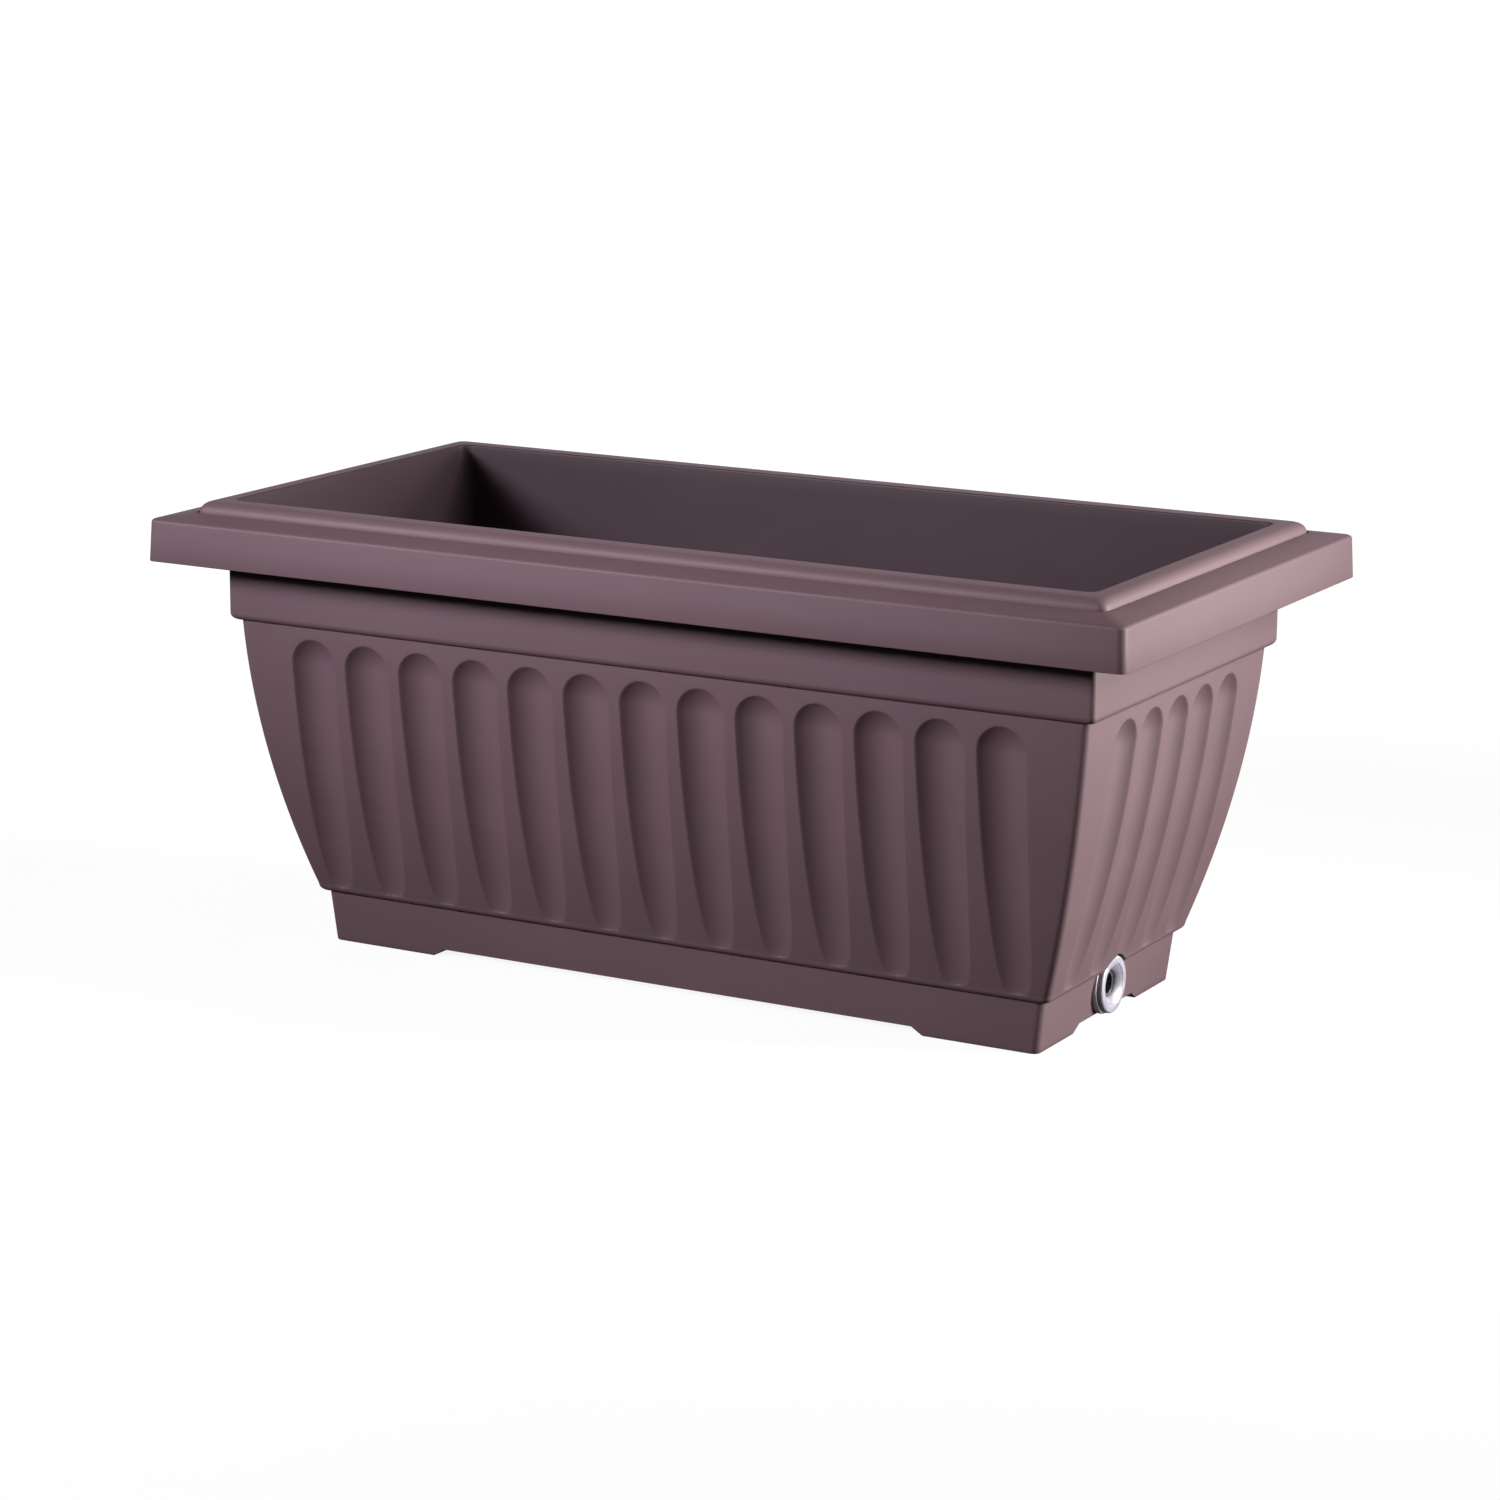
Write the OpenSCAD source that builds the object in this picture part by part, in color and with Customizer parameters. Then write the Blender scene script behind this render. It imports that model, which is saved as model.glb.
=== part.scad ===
// Self-watering trough planter. Millimetres, +Z up, origin at the centre of the footprint on the ground.
// X runs along the trough, Y from front to back. The drain grommet is in the +X end.

/* [Trough] */
// Length over the rim
trough_l = 600; // [580:10:640]
// Depth over the rim, front to back
trough_w = 310; // [300:5:330]
// Height over the rim
trough_h = 258.5; // [256:0.5:262]
// Wall thickness of the moulding
wall = 3; // [2.6:0.2:3.4]
// Height of the hanging lip's face
lip_face_h = 24; // [20:1:27]
// Bow of the body walls between top and bottom
belly = 5; // [3:0.5:6]

/* [Flutes] */
// Flutes on each long side
flutes_side = 13; // [9:2:13]
// Flutes on each end
flutes_end = 5; // [3:2:5]
// Distance between flutes on the long sides
flute_pitch_side = 35.8; // [34:0.2:36]
// Distance between flutes on the ends
flute_pitch_end = 33.4; // [33:0.2:34]
// Radius of the flute's round bottom
flute_r = 20.5; // [19:0.5:21]
// Depth of a flute near its top
flute_depth = 5.9; // [4.1:0.2:6.1]

/* [Feet] */
// Height of the feet under the floor
foot_h = 4.5; // [3:0.5:6]
// Length of a foot along the long side
foot_l = 68; // [50:2:80]
// Length of a foot along the end
foot_w = 44; // [34:2:50]

/* [Drain] */
// Height of the drain's centre
drain_z = 20; // [19.5:0.5:21]
// Radius of the hole in the trough wall
drain_hole_r = 10.05; // [9.55:0.5:10.55]
// Outer radius of the grommet's flange
grommet_r = 16; // [14:0.5:16.5]
// Outer radius of the overflow pipe
pipe_r = 7.5; // [6.5:0.5:7.5]
// Height of the overflow pipe's mouth, which sets the water level
overflow_z = 62; // [56:1:64]

/* [Platform] */
// Height of the platform's top face above the ground
platform_z = 84; // [82:1:88]
// Thickness of the platform plate
platform_t = 2.5; // [2:0.5:3]
// Height of the platform's upturned rim
platform_rim_h = 8; // [6:1:12]
// Length of a drainage slot
slot_l = 16; // [10:1:18]
// Width of a drainage slot
slot_w = 3.2; // [2:0.2:4]

/* [Wicking] */
// Radius of a wick cup at its mouth
cup_r = 29; // [25:1:31]
// Radius of a wick cup at its foot
cup_foot_r = 22; // [18:1:23]
// Radius of a wick cord
cord_r = 3.5; // [2.5:0.5:4]

/* [Fill tube] */
// Outer radius of the fill tube
fill_r = 15; // [14:0.5:16]
// Height of the fill tube's mouth
fill_top_z = 229; // [215:1:232]

/* [Water gauge] */
// Outer radius of the gauge sleeve
gauge_r = 14; // [13.5:0.5:14.5]
// Height of the clear lens's top
gauge_top_z = 236; // [232:1:240]
// Travel of the float
float_travel = 33; // [20:1:33]

/* [Hidden] */

$fn = 64;
BELLY_FN = 720;          // facets of the very large circles that bow the walls
ARC_STEPS = 6;           // facets of a small rounded edge of the rim
EPS = 0.01;
RUN = 0.05;              // radial clearance of a part that turns or slides in a bore

plum = [0.36, 0.29, 0.30];
silicone = [0.86, 0.84, 0.92];
charcoal = [0.20, 0.20, 0.21];
cord_white = [0.88, 0.86, 0.80];
signal_red = [0.80, 0.12, 0.10];
foam_white = [0.93, 0.93, 0.90];
steel = [0.75, 0.75, 0.77];

// Heights of the trough's bands
lip_top_z = trough_h - 8.5;
lip_bottom_z = lip_top_z - lip_face_h;
tier_foot_z = lip_top_z + 2.7;
tier_r = trough_h - tier_foot_z;
neck_bottom_z = 190;
ledge_z = 29.5;
body_bottom_z = ledge_z + 4;
floor_z = foot_h + wall;

// Insets of each band from the rim's outer edge, as [ends, long sides]
lip_r = 2;
lip_draft = 1;
corner_r = 3;
channel_r = 1;
tier_in = 20.2;
tier_corner_r = 4.2;
mouth_r = 4;
neck_in = [31, 33.5];
neck_r = 4;
body_top_in = [36, 37.6];
body_foot_in = [67, 64];
plinth_top_in = [72, 68.5];
plinth_foot_in = [75.5, 70];
foot_slope = 7;

half = [trough_l / 2, trough_w / 2];

// Drain place on the +X end
drain_y = -4.5;
drain_face_x = half[0] - 71.3;
drain_inner_x = half[0] - 78.6;
drain_cut = 30;
boss_r = grommet_r + 1;
grommet_t = 3.2;
grommet_neck_r = drain_hole_r - RUN;
pipe_wall = 1.7;
pipe_bore_r = pipe_r - pipe_wall;
elbow_x = half[0] - 102;
bend_r = 14;
strainer_r = 11.5;
strainer_h = 12;

// Platform outline and the places of what it carries, for the +X half; the other half mirrors them
platform_half_l = half[0] - 61;
platform_half_w = half[1] - 59.3;
platform_gap = 0.4;
rim_t = 2.5;
rib_h = 6;
leg_places = [[28, -70], [28, 70], [205, -70], [205, 70]];
cup_place = [115, 10];
port_place = [165, -62];
cord_places = [[62, -34], [62, 52]];
leg_r = 9;
leg_bore_r = 6.6;
spigot_r = 6.4;
spigot_h = 10;
clip_places = [-50, 50];
cup_flange_r = cup_r + 4;
cup_foot_z = floor_z + 4.5;
cord_foot_z = floor_z + 2;

fill_x = -port_place[0];
fill_bore_r = fill_r - 2.2;
hinge_y = port_place[1] - 22;
hinge_z = fill_top_z + 2;
hinge_pin_r = 1.5;
knuckle_r = 3.4;

gauge_bore_r = gauge_r - 1.8;
gauge_foot_z = floor_z + 2;
gauge_sleeve_top_z = gauge_top_z - float_travel - 9;
lens_r = gauge_r + 2;
float_foot_z = gauge_foot_z + 2.5;
float_h = 24;
float_gap = 0.7;
rod_r = 2;
rod_seat = 8;
flag_z = gauge_sleeve_top_z + 2.5;

// ---------------------------------------------------------------- shared shapes

// Rectangle with true round corners, centred
module rounded_rect(l, w, r) {
    square([l - 2 * r, w], center = true);
    square([l, w - 2 * r], center = true);
    for (x = [-1, 1], y = [-1, 1])
        translate([x * (l / 2 - r), y * (w / 2 - r)]) circle(r);
}

module rounded_plate(l, w, r, z0, z1) {
    translate([0, 0, z0]) linear_extrude(z1 - z0) rounded_rect(l, w, r);
}

// Solid whose X outline is child 0 and whose Y outline is child 1, both drawn as [across, up]
module crossed_outlines() {
    intersection() {
        rotate([90, 0, 0]) linear_extrude(trough_w * 2, center = true) children(0);
        rotate([90, 0, 90]) linear_extrude(trough_l * 2, center = true) children(1);
    }
}

// Outline with a flat foot, straight sides and two round top edges
module round_top_outline(h, z0, z1, r) {
    translate([-h, z0]) square([2 * h, z1 - r - z0]);
    translate([-h + r, z0]) square([2 * (h - r), z1 - z0]);
    for (s = [-1, 1]) translate([s * (h - r), z1 - r]) circle(r);
}

module taper_outline(h0, h1, z0, z1) {
    polygon([[-h0, z0], [h0, z0], [h1, z1], [-h1, z1]]);
}

// Four-sided block that tapers from insets in0 at z0 to insets in1 at z1
module taper_block(in0, in1, z0, z1) {
    crossed_outlines() {
        taper_outline(half[0] - in0[0], half[0] - in1[0], z0, z1);
        taper_outline(half[1] - in0[1], half[1] - in1[1], z0, z1);
    }
}

function grow(v, d) = [v[0] + d, v[1] + d];

// Points of an arc, and an outline made of the points of its right half
function arc_points(centre, r, from, to) = [
    for (i = [0 : ARC_STEPS])
        let (a = from + (to - from) * i / ARC_STEPS) centre + r * [cos(a), sin(a)]
];
module two_sided(points) {
    last = len(points) - 1;
    polygon(concat(points, [for (i = [last : -1 : 0]) [-points[i][0], points[i][1]]]));
}

// ---------------------------------------------------------------- bowed body walls

// A wall's bow is one arc through its top and foot. side is 0 for the ends and 1 for the long sides.
function wall_top(side) = [half[side] - body_top_in[side], neck_bottom_z];
function wall_foot(side) = [half[side] - body_foot_in[side], body_bottom_z];
function chord(side) = wall_top(side) - wall_foot(side);
function arc_r(side) = pow(norm(chord(side)), 2) / (8 * belly) + belly / 2;
function outward(v) = [v[1], -v[0]] / norm(v);
function arc_centre(side) =
    (wall_top(side) + wall_foot(side)) / 2 - outward(chord(side)) * (arc_r(side) - belly);
function wall_u(side, z) =
    arc_centre(side)[0] + sqrt(pow(arc_r(side), 2) - pow(z - arc_centre(side)[1], 2));

// Both walls of one direction, made of the overlap of two big discs, thinned by t
module bowed_outline(side, t) {
    intersection_for(s = [-1, 1])
        translate([s * arc_centre(side)[0], arc_centre(side)[1]])
            circle(arc_r(side) - t, $fn = BELLY_FN);
}

module bowed_body(t, z0, z1) {
    intersection() {
        crossed_outlines() {
            bowed_outline(0, t);
            bowed_outline(1, t);
        }
        translate([-half[0], -half[1], z0]) cube([trough_l, trough_w, z1 - z0]);
    }
}

// ---------------------------------------------------------------- flutes

// The flute's floor line as [outwards, up]: deep near the top, level with the wall at its foot
flute_top_z = 183;
flute_mouth = sqrt(2 * flute_r * flute_depth - pow(flute_depth, 2));
flute_line_z = [ledge_z + 1.5, 75, flute_top_z - flute_mouth];
flute_bend_depth = 0.64 * flute_depth;
flute_tip_clear = 0.4;
function flute_line(side) = [
    [wall_u(side, flute_line_z[0]) + flute_tip_clear, flute_line_z[0]],
    [wall_u(side, flute_line_z[1]) - flute_bend_depth, flute_line_z[1]],
    [wall_u(side, flute_line_z[2]) - flute_depth, flute_line_z[2]]
];

// Axis of the cutter that leaves the floor line, mitred where the line bends
function flute_axis(side) = let (
        line = flute_line(side),
        low = outward(line[1] - line[0]),
        high = outward(line[2] - line[1]),
        bisector = (low + high) / norm(low + high)
    ) [
        line[0] + low * flute_r,
        line[1] + bisector * flute_r / (bisector * low),
        line[2] + high * flute_r
    ];

// Rod along the axis from point a to point b, with a round nose past b
module nosed_rod(a, b, r) {
    run = b - a;
    translate([a[0], 0, a[1]])
        rotate([0, atan2(run[0], run[1]), 0])
            rotate_extrude() {
                square([r, norm(run)]);
                intersection() {
                    translate([0, norm(run)]) circle(r);
                    translate([0, norm(run)]) square(r + 1);
                }
            }
}

// Round-nosed cutter along the floor line, facing +X, grown by t. Its two rods overlap past the bend.
module flute_cutter(side, t) {
    axis = flute_axis(side);
    lap = 3;
    low_run = axis[1] - axis[0];
    high_run = axis[2] - axis[1];
    translate([axis[0][0], 0, axis[0][1]])
        rotate([0, atan2(low_run[0], low_run[1]), 0])
            cylinder(r = flute_r + t, h = norm(low_run) + lap);
    nosed_rod(axis[1] - high_run / norm(high_run) * lap, axis[2], flute_r + t);
}

module flutes(t) {
    for (turn = [0, 180], i = [0 : flutes_end - 1])
        rotate(turn)
            translate([0, (i - (flutes_end - 1) / 2) * flute_pitch_end, 0]) flute_cutter(0, t);
    for (turn = [90, 270], i = [0 : flutes_side - 1])
        rotate(turn)
            translate([0, (i - (flutes_side - 1) / 2) * flute_pitch_side, 0]) flute_cutter(1, t);
}

// ---------------------------------------------------------------- trough

// Hanging lip: drafted face, round edge, and a top that rises to the tier and ends under it
module lip_outline(h) {
    rise = tier_foot_z - lip_top_z;
    run = tier_in - lip_draft - lip_r;
    under = 2;
    two_sided(concat(
        [[h, lip_bottom_z]],
        arc_points([h - lip_draft - lip_r, lip_top_z - lip_r], lip_r, 0, 90 - atan2(rise, run)),
        [[h - tier_in - under, tier_foot_z + under * rise / run]]));
}

// Raised tier round the opening, a quarter round on the outside
module tier_outline(h) {
    two_sided(concat(
        [[h - tier_in, lip_top_z - 1]],
        arc_points([h - tier_in - tier_r, tier_foot_z], tier_r, 0, 90)));
}

module trough_outside() {
    intersection() {
        crossed_outlines() {
            lip_outline(half[0]);
            lip_outline(half[1]);
        }
        rounded_plate(trough_l, trough_w, corner_r, lip_bottom_z - 1, tier_foot_z + 1);
    }
    intersection() {
        crossed_outlines() {
            tier_outline(half[0]);
            tier_outline(half[1]);
        }
        rounded_plate(trough_l - 2 * tier_in, trough_w - 2 * tier_in, tier_corner_r,
                      lip_top_z - 2, trough_h + 1);
    }
    // neck, with its round lower edge
    neck_l = trough_l - 2 * neck_in[0];
    neck_w = trough_w - 2 * neck_in[1];
    rounded_plate(neck_l, neck_w, corner_r, neck_bottom_z + neck_r, lip_top_z - 1);
    mirror([0, 0, 1])
        crossed_outlines() {
            round_top_outline(neck_l / 2, -neck_bottom_z - neck_r - EPS, -neck_bottom_z, neck_r);
            round_top_outline(neck_w / 2, -neck_bottom_z - neck_r - EPS, -neck_bottom_z, neck_r);
        }
    difference() {
        bowed_body(0, ledge_z, neck_bottom_z + 1);
        flutes(0);
    }
    taper_block(plinth_foot_in, plinth_top_in, 0, ledge_z);
    drain_boss();
}

// Round pad that gives the drain hole a flat seat inside and out
module drain_boss() {
    intersection() {
        at_drain(drain_inner_x) cylinder(r = boss_r, h = drain_face_x - drain_inner_x);
        translate([0, -half[1], foot_h]) cube([half[0], trough_w, ledge_z + 2]);
    }
}

// Mouth of the opening, flared over the tier's round inner edge
module mouth_outline(h) {
    two_sided(concat(
        [[h, lip_bottom_z - 4]],
        arc_points([h + mouth_r, trough_h - mouth_r], mouth_r, 180, 90),
        [[h + mouth_r, trough_h + 2]]));
}

module trough_cavity() {
    crossed_outlines() {
        mouth_outline(half[0] - neck_in[0] - wall);
        mouth_outline(half[1] - neck_in[1] - wall);
    }
    // neck
    rounded_plate(trough_l - 2 * (neck_in[0] + wall), trough_w - 2 * (neck_in[1] + wall),
                  corner_r, neck_bottom_z + wall, lip_bottom_z - 3);
    // body, whose wall follows the back of every flute
    difference() {
        bowed_body(wall, body_bottom_z, neck_bottom_z + wall + 1);
        flutes(wall);
    }
    // plinth
    difference() {
        taper_block(grow(plinth_foot_in, wall), grow(plinth_top_in, wall), floor_z, body_bottom_z + 1);
        drain_boss();
    }
}

// Open channel under the lip and the tier, between the lip's face and the neck
module lip_channel() {
    tier_wall_in = tier_in + wall;
    difference() {
        union() {
            rounded_plate(trough_l - 2 * (lip_draft + wall), trough_w - 2 * (lip_draft + wall), channel_r,
                          lip_bottom_z - 1, lip_top_z - wall - 0.5);
            rounded_plate(trough_l - 2 * tier_wall_in, trough_w - 2 * tier_wall_in, channel_r,
                          lip_bottom_z, tier_foot_z - 0.5);
        }
        taper_block(grow(neck_in, 0.3), grow(neck_in, 0.1), lip_bottom_z - 2, trough_h);
    }
}

// Gaps between the corner feet, with sloped ends
module foot_gaps() {
    clear_l = half[0] - plinth_foot_in[0] - foot_l;
    clear_w = half[1] - plinth_foot_in[1] - foot_w;
    rotate([90, 0, 0]) linear_extrude(trough_w, center = true)
        taper_outline(clear_l, clear_l - foot_slope, -EPS, foot_h);
    rotate([90, 0, 90]) linear_extrude(trough_l, center = true)
        taper_outline(clear_w, clear_w - foot_slope, -EPS, foot_h);
}

// Hollow inside each foot, open below
module foot_pockets() {
    pocket_l = foot_l - 2 * wall - foot_slope;
    pocket_w = foot_w - 2 * wall - foot_slope;
    for (x = [-1, 1], y = [-1, 1])
        translate([x * (half[0] - plinth_foot_in[0] - foot_l / 2 + foot_slope / 4),
                   y * (half[1] - plinth_foot_in[1] - foot_w / 2 + foot_slope / 4),
                   foot_h / 2 - EPS])
            cube([pocket_l, pocket_w, foot_h], center = true);
}

module planter_box() {
    color(plum) difference() {
        trough_outside();
        trough_cavity();
        lip_channel();
        foot_gaps();
        foot_pockets();
        // hole for the grommet, and the scallop in the ledge that clears its flange
        at_drain(drain_inner_x - 5) cylinder(r = drain_hole_r, h = drain_cut);
        at_drain(drain_face_x) cylinder(r = boss_r, h = drain_cut);
    }
}

// ---------------------------------------------------------------- drain and overflow

// Places a shape drawn along +Z so that it runs along +X through the drain's centre
module at_drain(x) {
    translate([x, drain_y, drain_z]) rotate([0, 90, 0]) children();
}

module drain_grommet() {
    seat = drain_face_x - drain_inner_x;
    inner_t = 2;
    inner_r = 12;
    flare_r = 11;
    edge_r = 1.5;
    bore = pipe_r + RUN;
    past = 20;
    color(silicone) at_drain(drain_inner_x) rotate_extrude() difference() {
        union() {
            translate([0, -inner_t]) square([inner_r, inner_t - RUN]);
            translate([0, -inner_t]) square([grommet_neck_r, inner_t + seat + 1]);
            translate([0, seat + RUN]) square([grommet_r - edge_r, grommet_t]);
            translate([0, seat + RUN]) square([grommet_r, grommet_t - edge_r]);
            translate([grommet_r - edge_r, seat + RUN + grommet_t - edge_r]) circle(edge_r);
        }
        translate([-past, -past]) square([past + bore, 3 * past]);
        // flared mouth
        polygon([[0, seat], [bore, seat], [flare_r, seat + grommet_t + 1], [0, seat + grommet_t + 1]]);
    }
}

module pipe_run(r) {
    // through the grommet
    at_drain(elbow_x + bend_r) cylinder(r = r, h = drain_face_x - 1 - elbow_x - bend_r);
    // bend
    translate([elbow_x + bend_r, drain_y, drain_z + bend_r])
        rotate([90, 0, 0]) rotate(180) rotate_extrude(angle = 90) translate([bend_r, 0]) circle(r);
    // standpipe
    translate([elbow_x, drain_y, drain_z + bend_r]) cylinder(r = r, h = overflow_z - drain_z - bend_r);
}

module overflow_elbow() {
    color(charcoal) difference() {
        pipe_run(pipe_r);
        pipe_run(pipe_bore_r);
        at_drain(elbow_x + bend_r - EPS) cylinder(r = pipe_bore_r, h = 60);
        translate([elbow_x, drain_y, overflow_z - 1]) cylinder(r = pipe_bore_r, h = 4);
    }
}

// Slotted cap over the standpipe's mouth
module overflow_strainer() {
    socket_h = 5;
    top_t = 2;
    slit = [2 * strainer_r + 10, 1.6, 4];
    color(charcoal) translate([elbow_x, drain_y, overflow_z - socket_h]) difference() {
        cylinder(r = strainer_r, h = strainer_h);
        translate([0, 0, -1]) cylinder(r = pipe_r + RUN, h = socket_h + 1 + RUN);
        translate([0, 0, -1]) cylinder(r = pipe_bore_r, h = strainer_h - top_t + 1);
        for (a = [0 : 30 : 150]) rotate(a)
            translate([-slit[0] / 2, -slit[1] / 2, socket_h + 0.5]) cube(slit);
    }
}

// ---------------------------------------------------------------- platform

// True when a slot at (x, y) keeps clear of every port, leg, rib and eyelet
function far(x, y, place, d) = norm([abs(x) - place[0], y - place[1]]) > d;
cup_clear = cup_r + 14;
port_clear = 30;
leg_clear = 19;
cord_clear = 15;
function slot_fits(x, y) =
    far(x, y, cup_place, cup_clear) && far(x, y, port_place, port_clear)
    && min([for (p = leg_places) far(x, y, p, leg_clear) ? 1 : 0]) == 1
    && min([for (p = cord_places) far(x, y, p, cord_clear) ? 1 : 0]) == 1;

// One half of the platform, drawn on +X
module platform_plate(port_r) {
    x0 = platform_gap;
    length = platform_half_l - x0;
    width = 2 * platform_half_w;
    under = platform_z - platform_t;
    corner = 8;
    rib_t = 2;
    rib_gap = 12;
    rib_end = rib_gap + 0.5;
    cut_z = under - rib_h - 1;
    cut_h = rib_h + 5;
    difference() {
        union() {
            translate([x0 + length / 2, 0, 0]) {
                rounded_plate(length, width, corner, under, platform_z);
                difference() {
                    rounded_plate(length, width, corner, under, platform_z + platform_rim_h);
                    rounded_plate(length - 2 * rim_t, width - 2 * rim_t, corner - rim_t,
                                  under - 1, platform_z + platform_rim_h + 1);
                }
            }
            // stiffening ribs
            for (y = [-70, 70])
                translate([rib_gap, y - rib_t / 2, under - rib_h])
                    cube([length - 2 * rib_gap, rib_t, rib_h + 1]);
            for (x = [28, 72, 158, 205])
                translate([x - rib_t / 2, rib_end - platform_half_w, under - rib_h])
                    cube([rib_t, width - 2 * rib_end, rib_h + 1]);
            // spigots for the legs
            for (p = leg_places)
                translate([p[0], p[1], under - spigot_h]) cylinder(r = spigot_r, h = spigot_h + 1);
        }
        for (x = [16 : 9 : platform_half_l - 10], y = [-80 : 20 : 80])
            if (slot_fits(x, y))
                translate([x - slot_w / 2, y - slot_l / 2, under - 1]) cube([slot_w, slot_l, platform_t + 2]);
        translate([cup_place[0], cup_place[1], cut_z]) cylinder(r = cup_r + 1, h = cut_h);
        translate([port_place[0], port_place[1], cut_z]) cylinder(r = port_r, h = cut_h);
        for (p = cord_places)
            translate([p[0], p[1], cut_z]) cylinder(r = cord_r + 0.6, h = cut_h);
    }
}

module platform_left() {
    socket_t = 2.5;
    socket_bore_r = fill_r + 0.1;
    socket_h = 12;
    color(charcoal) {
        mirror([1, 0, 0]) platform_plate(fill_bore_r);
        // socket that holds the fill tube upright
        at_fill(platform_z - EPS) difference() {
            cylinder(r = socket_bore_r + socket_t, h = socket_h);
            translate([0, 0, -1]) cylinder(r = socket_bore_r, h = socket_h + 2);
        }
    }
}

module platform_right() {
    color(charcoal) platform_plate(gauge_r + 0.3);
}

// Tubular legs with a spread foot, notched so that water passes
module support_legs(side) {
    leg_h = platform_z - platform_t - floor_z;
    foot_r = leg_r + 1.8;
    foot_t = 2.5;
    notch = [40, 2.6, 10];
    drain = [40, 4, 9];
    color(charcoal) for (p = leg_places)
        translate([side * p[0], p[1], floor_z]) difference() {
            union() {
                cylinder(r = leg_r, h = leg_h);
                cylinder(r = foot_r, h = foot_t);
            }
            translate([0, 0, -1]) cylinder(r = leg_bore_r, h = leg_h + 2);
            // the crossing ribs pass through notches in the leg's head
            for (a = [0, 90]) rotate(a)
                translate([-notch[0] / 2, -notch[1] / 2, leg_h - rib_h - 0.3]) cube(notch);
            rotate(45) translate([-drain[0] / 2, -drain[1] / 2, -1]) cube(drain);
        }
}

module support_legs_left() { support_legs(-1); }
module support_legs_right() { support_legs(1); }

// Channel clips pushed down over the two rims where the platform halves meet
module joining_clips() {
    inner_w = 2 * (platform_gap + rim_t) + 0.2;
    roof_z = platform_z + platform_rim_h + 0.1;
    foot_z = platform_z + 1;
    side_t = 1.6;
    roof_t = 1.8;
    clip_l = 26;
    color(charcoal) for (y = clip_places)
        translate([-inner_w / 2 - side_t, y - clip_l / 2, 0]) difference() {
            translate([0, 0, foot_z]) cube([inner_w + 2 * side_t, clip_l, roof_z + roof_t - foot_z]);
            translate([side_t, -1, 0]) cube([inner_w, clip_l + 2, roof_z]);
        }
}

// ---------------------------------------------------------------- wicking parts

// Slotted basket that holds soil down in the water
module wick_cup(side) {
    flange_t = 2.5;
    cup_h = platform_z + flange_t - cup_foot_z;
    cup_t = 2;
    slit = [100, 2.8, 18];
    hole_r = 2;
    hole_circle_r = 12;
    color(charcoal) translate([side * cup_place[0], cup_place[1], cup_foot_z]) difference() {
        union() {
            cylinder(r1 = cup_foot_r, r2 = cup_r, h = cup_h);
            translate([0, 0, cup_h - flange_t]) cylinder(r = cup_flange_r, h = flange_t);
        }
        translate([0, 0, cup_t]) cylinder(r1 = cup_foot_r - cup_t, r2 = cup_r - cup_t, h = cup_h);
        for (a = [0 : 22.5 : 157.5], z = [7, 29]) rotate(a)
            translate([-slit[0] / 2, -slit[1] / 2, z]) cube(slit);
        for (a = [0 : 60 : 300]) rotate(a)
            translate([hole_circle_r, 0, -1]) cylinder(r = hole_r, h = cup_t + 2);
        translate([0, 0, -1]) cylinder(r = hole_r, h = cup_t + 2);
    }
}

module wick_cup_left() { wick_cup(-1); }
module wick_cup_right() { wick_cup(1); }

// Cotton cords: down through an eyelet to the water, bent over to lie on the platform
module wick_cords() {
    bend = cord_r + 1;
    lie = 38;
    lie_z = platform_z + cord_r + 0.3;
    color(cord_white) for (s = [-1, 1], p = cord_places)
        translate([s * p[0], p[1], 0]) mirror([s < 0 ? 1 : 0, 0, 0]) {
            translate([0, 0, cord_foot_z]) cylinder(r = cord_r, h = lie_z - bend - cord_foot_z);
            translate([-bend, 0, lie_z - bend])
                rotate([90, 0, 0]) rotate_extrude(angle = 90) translate([bend, 0]) circle(cord_r);
            translate([-bend, 0, lie_z]) rotate([0, -90, 0]) cylinder(r = cord_r, h = lie);
        }
}

// ---------------------------------------------------------------- fill tube

module at_fill(z) {
    translate([fill_x, port_place[1], z]) children();
}

module fill_tube() {
    ear_t = 3;
    ear_x = 5;
    collar_t = 3;
    collar_r = fill_r + 4;
    color(charcoal) difference() {
        union() {
            at_fill(platform_z) cylinder(r = fill_r, h = fill_top_z - platform_z);
            at_fill(fill_top_z - collar_t) cylinder(r = collar_r, h = collar_t);
            // hinge ears
            for (s = [0, 1]) mirror([s, 0, 0]) translate([(s == 0 ? fill_x : -fill_x) + ear_x, 0, 0]) {
                translate([0, hinge_y, hinge_z]) rotate([0, 90, 0]) cylinder(r = knuckle_r, h = ear_t);
                translate([0, hinge_y - knuckle_r, fill_top_z - collar_t]) cube([ear_t, 12, collar_t]);
                translate([0, hinge_y - knuckle_r, fill_top_z - 1]) cube([ear_t, 2 * knuckle_r, 3]);
            }
        }
        at_fill(platform_z - 1) cylinder(r = fill_bore_r, h = fill_top_z - platform_z + 2);
        at_hinge(40) cylinder(r = hinge_pin_r + RUN, h = 40);
    }
}

// Places a shape of a given length, drawn along +Z, on the hinge's axis, centred on the tube
module at_hinge(length) {
    translate([fill_x - length / 2, hinge_y, hinge_z]) rotate([0, 90, 0]) children();
}

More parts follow.
